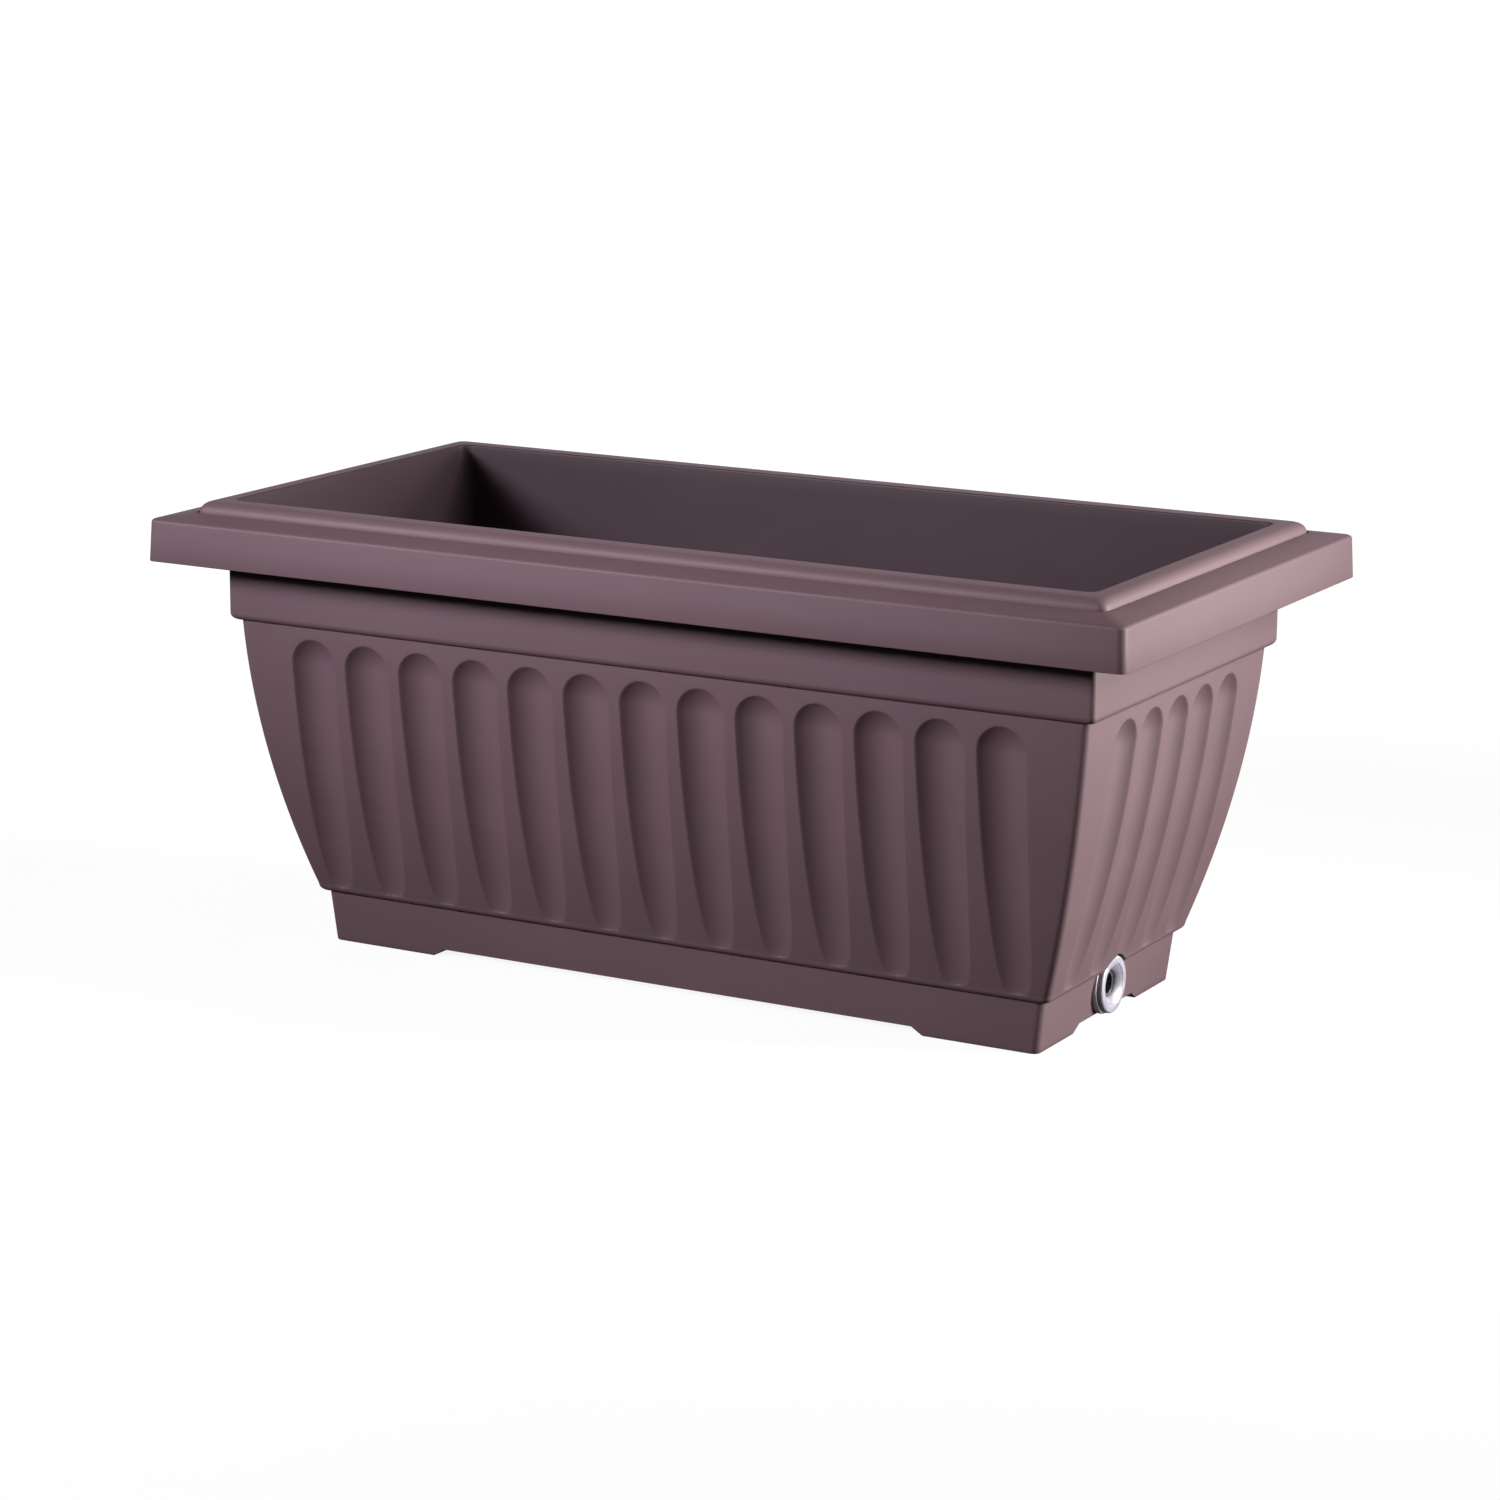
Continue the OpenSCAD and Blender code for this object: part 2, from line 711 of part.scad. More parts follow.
// Flip-up cap with a finger tab and a plug that centres it
module fill_cap() {
    lid_z = fill_top_z + 0.3;
    lid_t = 2.6;
    lid_r = fill_r + 3.5;
    plug_h = 3;
    plug_r = fill_bore_r - 1.3;
    plug_t = 1.7;
    tab = [14, 9, lid_t];
    knuckle_l = 9.4;
    color(charcoal) difference() {
        union() {
            at_fill(lid_z) cylinder(r = lid_r, h = lid_t);
            at_fill(lid_z - plug_h) cylinder(r = plug_r, h = plug_h + 1);
            translate([fill_x - tab[0] / 2, port_place[1] + fill_r, lid_z]) cube(tab);
            at_hinge(knuckle_l) cylinder(r = knuckle_r - 0.6, h = knuckle_l);
            translate([fill_x - knuckle_l / 2, hinge_y, lid_z]) cube([knuckle_l, 8, lid_t]);
        }
        at_fill(lid_z - plug_h - 1) cylinder(r = plug_r - plug_t, h = plug_h + 1);
        at_hinge(40) cylinder(r = hinge_pin_r + RUN, h = 40);
    }
}

module hinge_pin() {
    pin_l = 18;
    color(steel) at_hinge(pin_l) cylinder(r = hinge_pin_r, h = pin_l);
}

// ---------------------------------------------------------------- water gauge

module at_gauge(z) {
    translate([port_place[0], port_place[1], z]) children();
}

module gauge_sleeve() {
    sleeve_h = gauge_sleeve_top_z - gauge_foot_z;
    collar_r = gauge_r + 3;
    collar_t = 2.5;
    foot_t = 2;
    slot = [60, 4, 50];
    color(charcoal) difference() {
        union() {
            at_gauge(gauge_foot_z) cylinder(r = gauge_r, h = sleeve_h);
            at_gauge(platform_z) cylinder(r = collar_r, h = collar_t);
        }
        at_gauge(gauge_foot_z + foot_t) cylinder(r = gauge_bore_r, h = sleeve_h);
        at_gauge(gauge_foot_z - 1) cylinder(r = gauge_bore_r - 3, h = foot_t + 3);
        // water slots
        at_gauge(gauge_foot_z + 5) for (a = [0, 90]) rotate(a)
            translate([-slot[0] / 2, -slot[1] / 2, 0]) cube(slot);
    }
}

// Spoked ring that keeps the rod central
module gauge_bush() {
    bush_t = 4;
    window_r = 2.6;
    window_circle_r = 7.2;
    color(foam_white) at_gauge(gauge_sleeve_top_z - bush_t - 1) difference() {
        cylinder(r = gauge_bore_r - RUN, h = bush_t);
        translate([0, 0, -1]) cylinder(r = rod_r + RUN, h = bush_t + 2);
        for (a = [0 : 90 : 270]) rotate(a)
            translate([window_circle_r, 0, -1]) cylinder(r = window_r, h = bush_t + 2);
    }
}

// Clear domed window over the sleeve's head
module gauge_lens() {
    socket_h = 12;
    inside_r = gauge_r - 1.5;
    h = gauge_top_z - gauge_sleeve_top_z + socket_h;
    dome_r = 6;
    color(silicone, 0.5) at_gauge(gauge_sleeve_top_z - socket_h) rotate_extrude() difference() {
        union() {
            square([lens_r, h - dome_r]);
            square([lens_r - dome_r, h]);
            translate([lens_r - dome_r, h - dome_r]) circle(dome_r);
        }
        translate([-2 * lens_r, -1]) square([2 * lens_r, h + 2]);
        translate([0, -1]) square([gauge_r + RUN, socket_h + 1 + RUN]);
        translate([0, -1]) square([inside_r, h - dome_r + 1]);
        translate([0, -1]) square([lens_r - dome_r, h - 1]);
        translate([lens_r - dome_r, h - dome_r]) circle(dome_r - (lens_r - inside_r));
    }
}

module gauge_float() {
    color(foam_white) at_gauge(float_foot_z) difference() {
        cylinder(r = gauge_bore_r - float_gap, h = float_h);
        translate([0, 0, float_h - rod_seat]) cylinder(r = rod_r + RUN, h = rod_seat + 2);
    }
}

module gauge_rod() {
    foot = float_foot_z + float_h - rod_seat + RUN;
    color(steel) at_gauge(foot) cylinder(r = rod_r, h = flag_z + 2 - foot);
}

// Red marker seen through the lens
module gauge_flag() {
    flag_r = 9;
    flag_t = 4;
    socket_h = 2.1;
    color(signal_red) at_gauge(flag_z) difference() {
        cylinder(r = flag_r, h = flag_t);
        translate([0, 0, -1]) cylinder(r = rod_r + RUN, h = socket_h + 1);
    }
}

planter_box();
drain_grommet();
overflow_elbow();
overflow_strainer();
platform_left();
platform_right();
support_legs_left();
support_legs_right();
joining_clips();
wick_cup_left();
wick_cup_right();
wick_cords();
fill_tube();
fill_cap();
hinge_pin();
gauge_sleeve();
gauge_bush();
gauge_lens();
gauge_float();
gauge_rod();
gauge_flag();
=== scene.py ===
"""Looks of the self-watering trough planter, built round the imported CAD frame. Metres, +Z up."""

import math

import bmesh
import bpy
import numpy as np
from mathutils import Euler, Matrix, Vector


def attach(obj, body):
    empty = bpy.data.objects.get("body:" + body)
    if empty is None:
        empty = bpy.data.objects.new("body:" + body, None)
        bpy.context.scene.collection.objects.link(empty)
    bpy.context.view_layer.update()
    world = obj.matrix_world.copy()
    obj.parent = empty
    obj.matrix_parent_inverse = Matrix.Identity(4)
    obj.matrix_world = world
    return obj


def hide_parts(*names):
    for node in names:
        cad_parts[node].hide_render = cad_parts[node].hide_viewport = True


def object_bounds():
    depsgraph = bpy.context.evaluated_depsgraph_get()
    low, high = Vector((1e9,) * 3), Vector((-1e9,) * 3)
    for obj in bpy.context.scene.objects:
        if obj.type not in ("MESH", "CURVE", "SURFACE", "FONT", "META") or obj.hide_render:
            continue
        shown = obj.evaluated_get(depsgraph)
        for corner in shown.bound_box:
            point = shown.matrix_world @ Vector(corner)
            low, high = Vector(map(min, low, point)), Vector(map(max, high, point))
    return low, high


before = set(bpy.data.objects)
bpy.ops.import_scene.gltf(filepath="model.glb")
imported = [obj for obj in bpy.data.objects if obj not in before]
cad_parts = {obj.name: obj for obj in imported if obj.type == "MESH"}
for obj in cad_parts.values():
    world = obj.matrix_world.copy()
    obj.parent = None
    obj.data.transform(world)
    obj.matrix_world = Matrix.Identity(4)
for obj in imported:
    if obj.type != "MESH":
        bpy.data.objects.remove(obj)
cad_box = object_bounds()

MM = 0.001

# ------------------------------------------------------------------ material helpers


class Shader:
    """A node material: short calls to add nodes and link them."""

    def __init__(self, name):
        self.material = bpy.data.materials.new(name)
        self.material.use_nodes = True
        self.tree = self.material.node_tree
        self.principled = self.tree.nodes["Principled BSDF"]
        self.coords = self.node("ShaderNodeTexCoord").outputs["Object"]

    def node(self, kind, **inputs):
        made = self.tree.nodes.new(kind)
        for key, value in inputs.items():
            self.feed(made, key.replace("_", " "), value)
        return made

    def feed(self, node, key, value):
        socket = node.inputs[key]
        if isinstance(value, bpy.types.NodeSocket):
            self.tree.links.new(value, socket)
        else:
            socket.default_value = value

    def set(self, key, value):
        self.feed(self.principled, key, value)

    def noise(self, scale, detail=2.0, roughness=0.5, vector=None, distortion=0.0):
        made = self.node("ShaderNodeTexNoise", Scale=scale, Detail=detail, Roughness=roughness)
        made.inputs["Distortion"].default_value = distortion
        self.feed(made, "Vector", vector or self.coords)
        return made.outputs["Fac"]

    def stretched(self, scale):
        """Object coordinates stretched by a factor for each axis."""
        made = self.node("ShaderNodeMapping")
        made.inputs["Scale"].default_value = scale
        self.feed(made, "Vector", self.coords)
        return made.outputs["Vector"]

    def ramp(self, fac, stops):
        """Colour ramp through (place, colour) stops."""
        made = self.node("ShaderNodeValToRGB")
        elements = made.color_ramp.elements
        while len(elements) < len(stops):
            elements.new(0.5)
        for element, (place, colour) in zip(elements, stops):
            element.position = place
            element.color = (*colour, 1.0)
        self.feed(made, "Fac", fac)
        return made.outputs["Color"]

    def scaled(self, fac, low, high):
        made = self.node("ShaderNodeMapRange")
        made.inputs["To Min"].default_value = low
        made.inputs["To Max"].default_value = high
        self.feed(made, "Value", fac)
        return made.outputs["Result"]

    def mix(self, fac, a, b, blend="MIX"):
        made = self.node("ShaderNodeMix")
        made.data_type = "RGBA"
        made.blend_type = blend
        for key, value in (("Factor", fac), ("A", a), ("B", b)):
            sockets = [s for s in made.inputs if s.name == key and s.enabled]
            if isinstance(value, bpy.types.NodeSocket):
                self.tree.links.new(value, sockets[0])
            elif key == "Factor":
                sockets[0].default_value = value
            else:
                sockets[0].default_value = (*value, 1.0)
        return [s for s in made.outputs if s.enabled][0]

    def bump(self, height, distance, strength=1.0, normal=None):
        made = self.node("ShaderNodeBump", Height=height, Distance=distance, Strength=strength)
        if normal is not None:
            self.feed(made, "Normal", normal)
        return made.outputs["Normal"]


def moulded_plastic(name, base, dark, light, roughness, grain=0.03 * MM, shine=0.5):
    """Satin injection-moulded plastic: fine spark-eroded grain and faint flow clouds."""
    s = Shader(name)
    clouds = s.noise(9.0, 4.0, 0.6, s.stretched((1.0, 1.0, 2.2)))
    colour = s.ramp(clouds, [(0.30, dark), (0.55, base), (0.80, light)])
    speck = s.noise(2600.0, 1.0)
    colour = s.mix(s.scaled(speck, 0.0, 0.10), colour, light)
    s.set("Base Color", colour)
    smears = s.noise(26.0, 3.0, 0.6, s.stretched((0.5, 0.5, 1.6)))
    s.set("Roughness", s.scaled(smears, roughness - 0.06, roughness + 0.07))
    s.set("Specular IOR Level", shine)
    fine = s.noise(3400.0, 2.0, 0.6)
    waves = s.noise(38.0, 2.0, 0.5)
    s.set("Normal", s.bump(fine, grain, 0.6, s.bump(waves, 0.10 * MM, 0.35)))
    return s.material


def natural_silicone():
    """Milky translucent rubber with a soft bloom on its surface."""
    s = Shader("natural_silicone")
    bloom = s.noise(120.0, 3.0, 0.6)
    s.set("Base Color", s.ramp(bloom, [(0.3, (0.215, 0.205, 0.255)), (0.7, (0.265, 0.255, 0.31))]))
    s.set("Roughness", s.scaled(bloom, 0.34, 0.48))
    s.set("Subsurface Weight", 0.6)
    s.set("Subsurface Radius", (1.0, 0.9, 1.0))
    s.set("Subsurface Scale", 4.0 * MM)
    s.set("Transmission Weight", 0.12)
    s.set("Normal", s.bump(s.noise(900.0, 2.0), 0.03 * MM, 0.5))
    return s.material


def clear_acrylic():
    s = Shader("clear_acrylic")
    s.set("Base Color", s.ramp(s.noise(20.0), [(0.3, (0.93, 0.96, 0.96)), (0.7, (0.98, 1.0, 1.0))]))
    s.set("Roughness", s.scaled(s.noise(70.0, 3.0), 0.03, 0.12))
    s.set("Transmission Weight", 1.0)
    s.set("IOR", 1.49)
    s.set("Normal", s.bump(s.noise(160.0), 0.02 * MM, 0.4))
    return s.material


def bead_foam():
    """Closed-cell foam: small cells pressed together."""
    s = Shader("bead_foam")
    cells = s.node("ShaderNodeTexVoronoi", Scale=700.0)
    s.feed(cells, "Vector", s.coords)
    distance = cells.outputs["Distance"]
    s.set("Base Color", s.ramp(distance, [(0.0, (0.86, 0.85, 0.80)), (0.6, (0.72, 0.70, 0.64))]))
    s.set("Roughness", s.scaled(distance, 0.55, 0.8))
    s.set("Normal", s.bump(distance, 0.12 * MM, 0.8))
    return s.material


def drawn_steel():
    s = Shader("drawn_steel")
    lines = s.noise(1.0, 2.0, 0.5, s.stretched((3000.0, 3000.0, 60.0)))
    s.set("Base Color", s.ramp(lines, [(0.3, (0.48, 0.48, 0.50)), (0.7, (0.68, 0.68, 0.70))]))
    s.set("Metallic", 1.0)
    s.set("Roughness", s.scaled(lines, 0.22, 0.40))
    s.set("Normal", s.bump(lines, 0.01 * MM, 0.5))
    return s.material


def gloss_red():
    s = Shader("gloss_red")
    tint = s.noise(90.0, 3.0)
    s.set("Base Color", s.ramp(tint, [(0.3, (0.50, 0.015, 0.012)), (0.7, (0.66, 0.03, 0.02))]))
    s.set("Roughness", s.scaled(s.noise(200.0), 0.18, 0.32))
    s.set("Normal", s.bump(s.noise(500.0), 0.02 * MM, 0.4))
    return s.material


def cotton():
    """Undyed cotton yarn: fine fibres along the strand."""
    s = Shader("cotton")
    fibres = s.noise(1500.0, 4.0, 0.7, distortion=0.6)
    s.set("Base Color", s.ramp(fibres, [(0.25, (0.52, 0.47, 0.37)), (0.75, (0.80, 0.76, 0.66))]))
    s.set("Roughness", 0.92)
    s.set("Sheen Weight", 0.4)
    s.set("Sheen Roughness", 0.5)
    s.set("Normal", s.bump(fibres, 0.25 * MM, 0.9))
    return s.material


PLUM = moulded_plastic("plum_plastic", (0.094, 0.0585, 0.067), (0.088, 0.0545, 0.063),
                       (0.101, 0.0635, 0.072), 0.56, shine=0.25)
# Inside plastic: the same plum with a finer grain and lower roughness, its colour darkened to about 0.37
# of the outside as painted shade for the deep trough.
PLUM_SMOOTH_SHADED = moulded_plastic("plum_plastic_inside_painted_shade", (0.0345, 0.0215, 0.027), (0.032, 0.0195, 0.025),
                              (0.038, 0.024, 0.029), 0.46, 0.01 * MM, shine=0.15)
CHARCOAL = moulded_plastic("charcoal_plastic", (0.060, 0.057, 0.060), (0.050, 0.048, 0.050),
                           (0.078, 0.075, 0.078), 0.52, 0.05 * MM)
BLACK = moulded_plastic("black_plastic", (0.030, 0.030, 0.032), (0.024, 0.024, 0.026),
                        (0.040, 0.040, 0.042), 0.36)
NYLON = moulded_plastic("nylon", (0.74, 0.72, 0.66), (0.70, 0.68, 0.62), (0.80, 0.78, 0.72), 0.40)
SILICONE = natural_silicone()
ACRYLIC = clear_acrylic()
FOAM = bead_foam()
STEEL = drawn_steel()
RED = gloss_red()
COTTON = cotton()

# ------------------------------------------------------------------ mesh helpers


def new_piece(name, vertices, faces, material, body, sharp_deg=35.0):
    """Mesh object with smooth shading and sharp edges by angle, riding on a CAD body."""
    mesh = bpy.data.meshes.new(name)
    mesh.from_pydata(vertices, [], faces)
    mesh.validate()
    mesh.polygons.foreach_set("use_smooth", [True] * len(mesh.polygons))
    mesh.set_sharp_from_angle(angle=math.radians(sharp_deg))
    mesh.materials.append(material)
    piece = bpy.data.objects.new(name, mesh)
    bpy.context.scene.collection.objects.link(piece)
    if body:
        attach(piece, body)
    return piece


def revolve(profile, steps):
    """Vertices and faces of a closed profile of (radius, height) turned about Z."""
    count = len(profile)
    vertices = []
    for i in range(steps):
        a = 2 * math.pi * i / steps
        for r, z in profile:
            vertices.append((r * math.cos(a), r * math.sin(a), z))
    faces = []
    for i in range(steps):
        j = (i + 1) % steps
        for k in range(count):
            m = (k + 1) % count
            faces.append((i * count + k, j * count + k, j * count + m, i * count + m))
    return vertices, faces


def arc_points(centre, radius, start_deg, end_deg, count):
    """Points of a circular arc as (across, up)."""
    angles = np.radians(np.linspace(start_deg, end_deg, count))
    return [(centre[0] + radius * math.cos(a), centre[1] + radius * math.sin(a)) for a in angles]


# ------------------------------------------------------------------ trough

# The trough's bands, in millimetres as in the CAD source. Insets are from the rim's outer edge,
# as (ends, long sides).
HALF = (cad_box[1][0] / MM, cad_box[1][1] / MM)
TOP_Z = cad_box[1][2] / MM
WALL = 3.0
LIP_TOP_Z = TOP_Z - 8.5
LIP_BOTTOM_Z = LIP_TOP_Z - 24
TIER_FOOT_Z = LIP_TOP_Z + 2.7
NECK_BOTTOM_Z = 190.0
LEDGE_Z = 29.5
BODY_FOOT_Z = LEDGE_Z + 4
FOOT_H = 4.5
FLOOR_Z = FOOT_H + WALL
LIP_DRAFT = 1.0
LIP_R = 2.0
LIP_CORNER_R = 4.5
TIER_IN = 20.2
TIER_R = TOP_Z - TIER_FOOT_Z
TIER_CORNER_R = 5
CREASE_W = 1.2
CREASE_DEPTH = 0.8
CREST_W = 4.0
MOUTH_R = 1.0
NECK_IN = np.array((31.0, 33.5))
NECK_R = 4.0
BODY_TOP_IN = np.array((36.0, 37.6))
BODY_FOOT_IN = np.array((67.0, 64.0))
PLINTH_TOP_IN = np.array((72.0, 68.5))
PLINTH_FOOT_IN = np.array((75.5, 70.0))
BELLY = 5.0
FOOT_SPAN = (68.0, 44.0)
FOOT_SLOPE = 7.0

# Flutes: (count, pitch) for the ends and the long sides
FLUTES = ((5, 33.4), (13, 35.8))
FLUTE_R = 20.5
FLUTE_DEPTH = 5.9
FLUTE_TOP_Z = 183.0
FLUTE_TIP_Z = 33.0
FLUTE_FADE = 0.4
MIN_MOUTH = 0.5

FLUTE_COLUMNS = 18
RIDGE_COLUMNS = 4
MARGIN_COLUMNS = 8
CORNER_COLUMNS = 7


def body_inset(z):
    """Insets of the bowed wall at height z: a straight draft less the bow."""
    t = np.clip((z - BODY_FOOT_Z) / (NECK_BOTTOM_Z - BODY_FOOT_Z), 0, 1)
    return BODY_FOOT_IN + (BODY_TOP_IN - BODY_FOOT_IN) * t - 4 * BELLY * t * (1 - t)


NOSE_Z = FLUTE_TOP_Z - math.sqrt(2 * FLUTE_R * FLUTE_DEPTH - FLUTE_DEPTH ** 2)


def flute_floor(z):
    """Depth of a flute's centre line at height z, before its round nose is taken off."""
    t = np.clip((z - FLUTE_TIP_Z) / (NOSE_Z - FLUTE_TIP_Z), 0, 1)
    return FLUTE_DEPTH * t ** FLUTE_FADE


def flute_cut(z, across, grow):
    """How deep a flute cuts at a distance across from its centre. grow thickens the cutter inside."""
    radius_sq = (FLUTE_R + grow) ** 2 - max(z - NOSE_Z, 0.0) ** 2 - across ** 2
    raw = np.sqrt(np.maximum(radius_sq, 0)) - (FLUTE_R - flute_floor(z)) - grow
    soft = 0.10 if grow == 0 else 0.8
    return 0.5 * (raw + np.sqrt(raw ** 2 + 4 * soft ** 2)) - soft * 0.1


def flute_mouth(z):
    """Half the width of a flute at height z."""
    stand_off = FLUTE_R - flute_floor(z)
    square = FLUTE_R ** 2 - max(z - NOSE_Z, 0.0) ** 2 - stand_off ** 2
    inside = MIN_MOUTH + math.sqrt(max(square, 0.0))
    if z <= FLUTE_TOP_Z:
        return inside
    spread = min((z - FLUTE_TOP_Z) / (NECK_BOTTOM_Z - FLUTE_TOP_Z), 1.0)
    return MIN_MOUTH + 9.0 * spread


def side_columns(side):
    """Column places along one wall as (low anchor, high anchor, share). An anchor is (flute centre,
    sign of its mouth) or None for the corner."""
    count, pitch = FLUTES[side]
    centres = [(i - (count - 1) / 2) * pitch for i in range(count)]
    columns = []

    def run(low, high, shares):
        columns.extend((low, high, share) for share in shares)

    margin = np.linspace(0, 1, MARGIN_COLUMNS + 1)
    eased = 0.5 - 0.5 * np.cos(np.pi * np.linspace(0, 1, FLUTE_COLUMNS + 1))
    ridge = 0.5 - 0.5 * np.cos(np.pi * np.linspace(0, 1, RIDGE_COLUMNS + 1))
    run(None, (centres[0], -1), margin[:-1])
    for i, centre in enumerate(centres):
        run((centre, -1), (centre, 1), eased[:-1])
        if i + 1 < count:
            run((centre, 1), (centres[i + 1], -1), ridge[:-1])
    run((centres[-1], 1), None, margin)
    return centres, columns


COLUMNS = [side_columns(0), side_columns(1)]


def wall_places(side, z, straight):
    """Places along a wall of half-length straight, following the flutes' edges."""
    centres, columns = COLUMNS[side]
    mouth = flute_mouth(z)
    reach = max(straight, centres[-1] + mouth + 1.0)

    def at(anchor, end):
        if anchor is None:
            return end * reach
        return anchor[0] + anchor[1] * mouth

    places = []
    for low, high, share in columns:
        a = at(low, -1)
        b = at(high, 1)
        places.append(a + (b - a) * share)
    return np.array(places) * (straight / reach)


def wall_cut(side, z, places, grow):
    centres = np.array(COLUMNS[side][0])
    nearest = np.abs(places[:, None] - centres[None, :]).min(axis=1)
    return np.maximum(flute_cut(z, nearest, grow), 0)


def ring(inset, z, corner, zone):
    """One closed ring of the trough's skin, counter-clockwise from the +X end, in millimetres."""
    half = np.array(HALF) - np.array(inset)
    corner = min(corner, 0.4 * min(half))
    points = []
    for quarter in range(4):
        side = quarter % 2
        out = half[side]
        along = half[1 - side] - corner
        places = wall_places(side, z, along)
        cut = np.zeros(len(places))
        if zone in ("body", "inner_body"):
            cut = wall_cut(side, z, places, 0.0 if zone == "body" else WALL)
        local = [(out - c, w) for c, w in zip(cut, places)]
        for a in np.radians(np.linspace(0, 90, CORNER_COLUMNS + 2)[1:-1]):
            local.append((out - corner + corner * math.cos(a), along + corner * math.sin(a)))
        turn = math.radians(90 * quarter)
        c, s = round(math.cos(turn)), round(math.sin(turn))
        points.extend((c * u - s * v, s * u + c * v, z) for u, v in local)
    return points


def arc_rows(inset, z, radius, start, end, corner, count=4):
    """Rows round an edge. 0 degrees faces outwards and 90 up; inset and z are the arc's centre."""
    rows = []
    for a in np.radians(np.linspace(start, end, count)):
        rows.append((np.array(inset) - radius * math.cos(a), z + radius * math.sin(a), corner, "plain"))
    return rows


def flat(inset, z, corner, zone="plain"):
    return [(np.zeros(2) + inset, z, corner, zone)]


def inner_rows():
    """Rows from the middle of the floor up the inside to the top edge."""
    slope = (PLINTH_FOOT_IN - PLINTH_TOP_IN) / LEDGE_Z
    foot = PLINTH_FOOT_IN - slope * FLOOR_Z + WALL
    shelf = PLINTH_TOP_IN + WALL
    neck = NECK_IN + WALL
    edge = 1.2
    rows = flat((200, 120), FLOOR_Z, 1) + flat((120, 100), FLOOR_Z, 1)
    rows += arc_rows(foot + 2, FLOOR_Z + 2, 2, -90, 0, 2)
    rows += arc_rows(shelf - edge, BODY_FOOT_Z - edge, edge, 180, 90, 2)
    rows += arc_rows(BODY_FOOT_IN + WALL + 1.5, BODY_FOOT_Z + 1.5, 1.5, -90, 0, 2)
    for z in np.linspace(BODY_FOOT_Z + 3, NECK_BOTTOM_Z + 0.5, 56):
        rows += flat(body_inset(z) + WALL, z, 2.5, "inner_body")
    rows += arc_rows(BODY_TOP_IN + WALL - edge, NECK_BOTTOM_Z + WALL - edge, edge, 180, 90, 4)
    rows += arc_rows(neck + edge, NECK_BOTTOM_Z + WALL + edge, edge, -90, 0, 7)
    for z in (205, 218, 230, 242, 250):
        rows += flat(neck, z, 8)
    rows += arc_rows(neck - MOUTH_R, TOP_Z - MOUTH_R, MOUTH_R, 180, 90, 6, 7)
    return rows


def outer_rows():
    """Rows from the top edge over the rim, down the outside and under to the middle of the floor."""
    rows = flat(NECK_IN + WALL - CREST_W, TOP_Z - 0.02, 6)
    rows += arc_rows((TIER_IN + TIER_R,) * 2, TIER_FOOT_Z, TIER_R, 90, 0, TIER_CORNER_R, 10)
    # narrow crease at the tier's foot
    lip_slope = (TIER_FOOT_Z - LIP_TOP_Z) / (TIER_IN - LIP_DRAFT - LIP_R)
    rows += flat(TIER_IN, TIER_FOOT_Z - CREASE_DEPTH, TIER_CORNER_R)
    rows += flat(TIER_IN - 0.6 * CREASE_W, TIER_FOOT_Z - CREASE_DEPTH, TIER_CORNER_R)
    rows += flat(TIER_IN - CREASE_W, TIER_FOOT_Z - CREASE_W * lip_slope, TIER_CORNER_R)
    rise = math.degrees(math.atan(lip_slope))
    rows += arc_rows((LIP_DRAFT + LIP_R,) * 2, LIP_TOP_Z - LIP_R, LIP_R, 90 - rise, 0, LIP_CORNER_R, 7)
    rows += flat(LIP_DRAFT / 2, (LIP_TOP_Z - LIP_R + LIP_BOTTOM_Z) / 2, LIP_CORNER_R)
    # open channel under the lip and the tier
    channel = LIP_DRAFT + WALL
    rows += arc_rows((0.4, 0.4), LIP_BOTTOM_Z + 0.4, 0.4, 0, -90, LIP_CORNER_R)
    rows += arc_rows((channel - 0.4,) * 2, LIP_BOTTOM_Z + 0.4, 0.4, -90, -180, 2)
    roof_z = LIP_TOP_Z - WALL - 0.5
    tier_roof_z = TIER_FOOT_Z - 0.5
    rows += flat(channel, roof_z, 1) + flat(TIER_IN + WALL, roof_z, 1)
    rows += flat(TIER_IN + WALL, tier_roof_z, 1) + flat(NECK_IN + 0.2, tier_roof_z, 3)
    rows += flat(NECK_IN + 0.2, LIP_BOTTOM_Z + 1.5, 3)
    rows += flat(NECK_IN, LIP_BOTTOM_Z - 1, 3) + flat(NECK_IN, 210, 3)
    rows += arc_rows(NECK_IN + NECK_R, NECK_BOTTOM_Z + NECK_R, NECK_R, 0, -90, 3, 9)
    rows += body_rows()
    rows += arc_rows(BODY_FOOT_IN + 4, BODY_FOOT_Z, 4, -8, -90, 4, 9)
    rows += flat(PLINTH_TOP_IN, LEDGE_Z, 4)
    slope = (PLINTH_FOOT_IN - PLINTH_TOP_IN) / LEDGE_Z
    for z in (LEDGE_Z - 0.4, 20, 10, 3, 0.6):
        rows += flat(PLINTH_FOOT_IN - slope * z, z, 4)
    rows += arc_rows(PLINTH_FOOT_IN + 0.5, 0.5, 0.5, 0, -90, 4, 3)
    rows += flat((120, 100), 0, 1) + flat((200, 120), 0, 1)
    return rows


def body_rows():
    """Rows down the fluted body, close together round the flutes' noses."""
    heights = [189.9, 189.0, 187.5, 185.5, 184.0, 183.3]
    heights += [NOSE_Z + (FLUTE_TOP_Z - NOSE_Z) * math.sin(a) for a in np.radians(np.linspace(88, 0, 16))]
    heights += list(np.linspace(NOSE_Z, FLUTE_TIP_Z + 8, 62)[1:])
    heights += list(np.linspace(FLUTE_TIP_Z + 8, BODY_FOOT_Z + 0.3, 8)[1:])
    rows = []
    for z in heights:
        rows += flat(body_inset(z), z, 4, "body")
    return rows


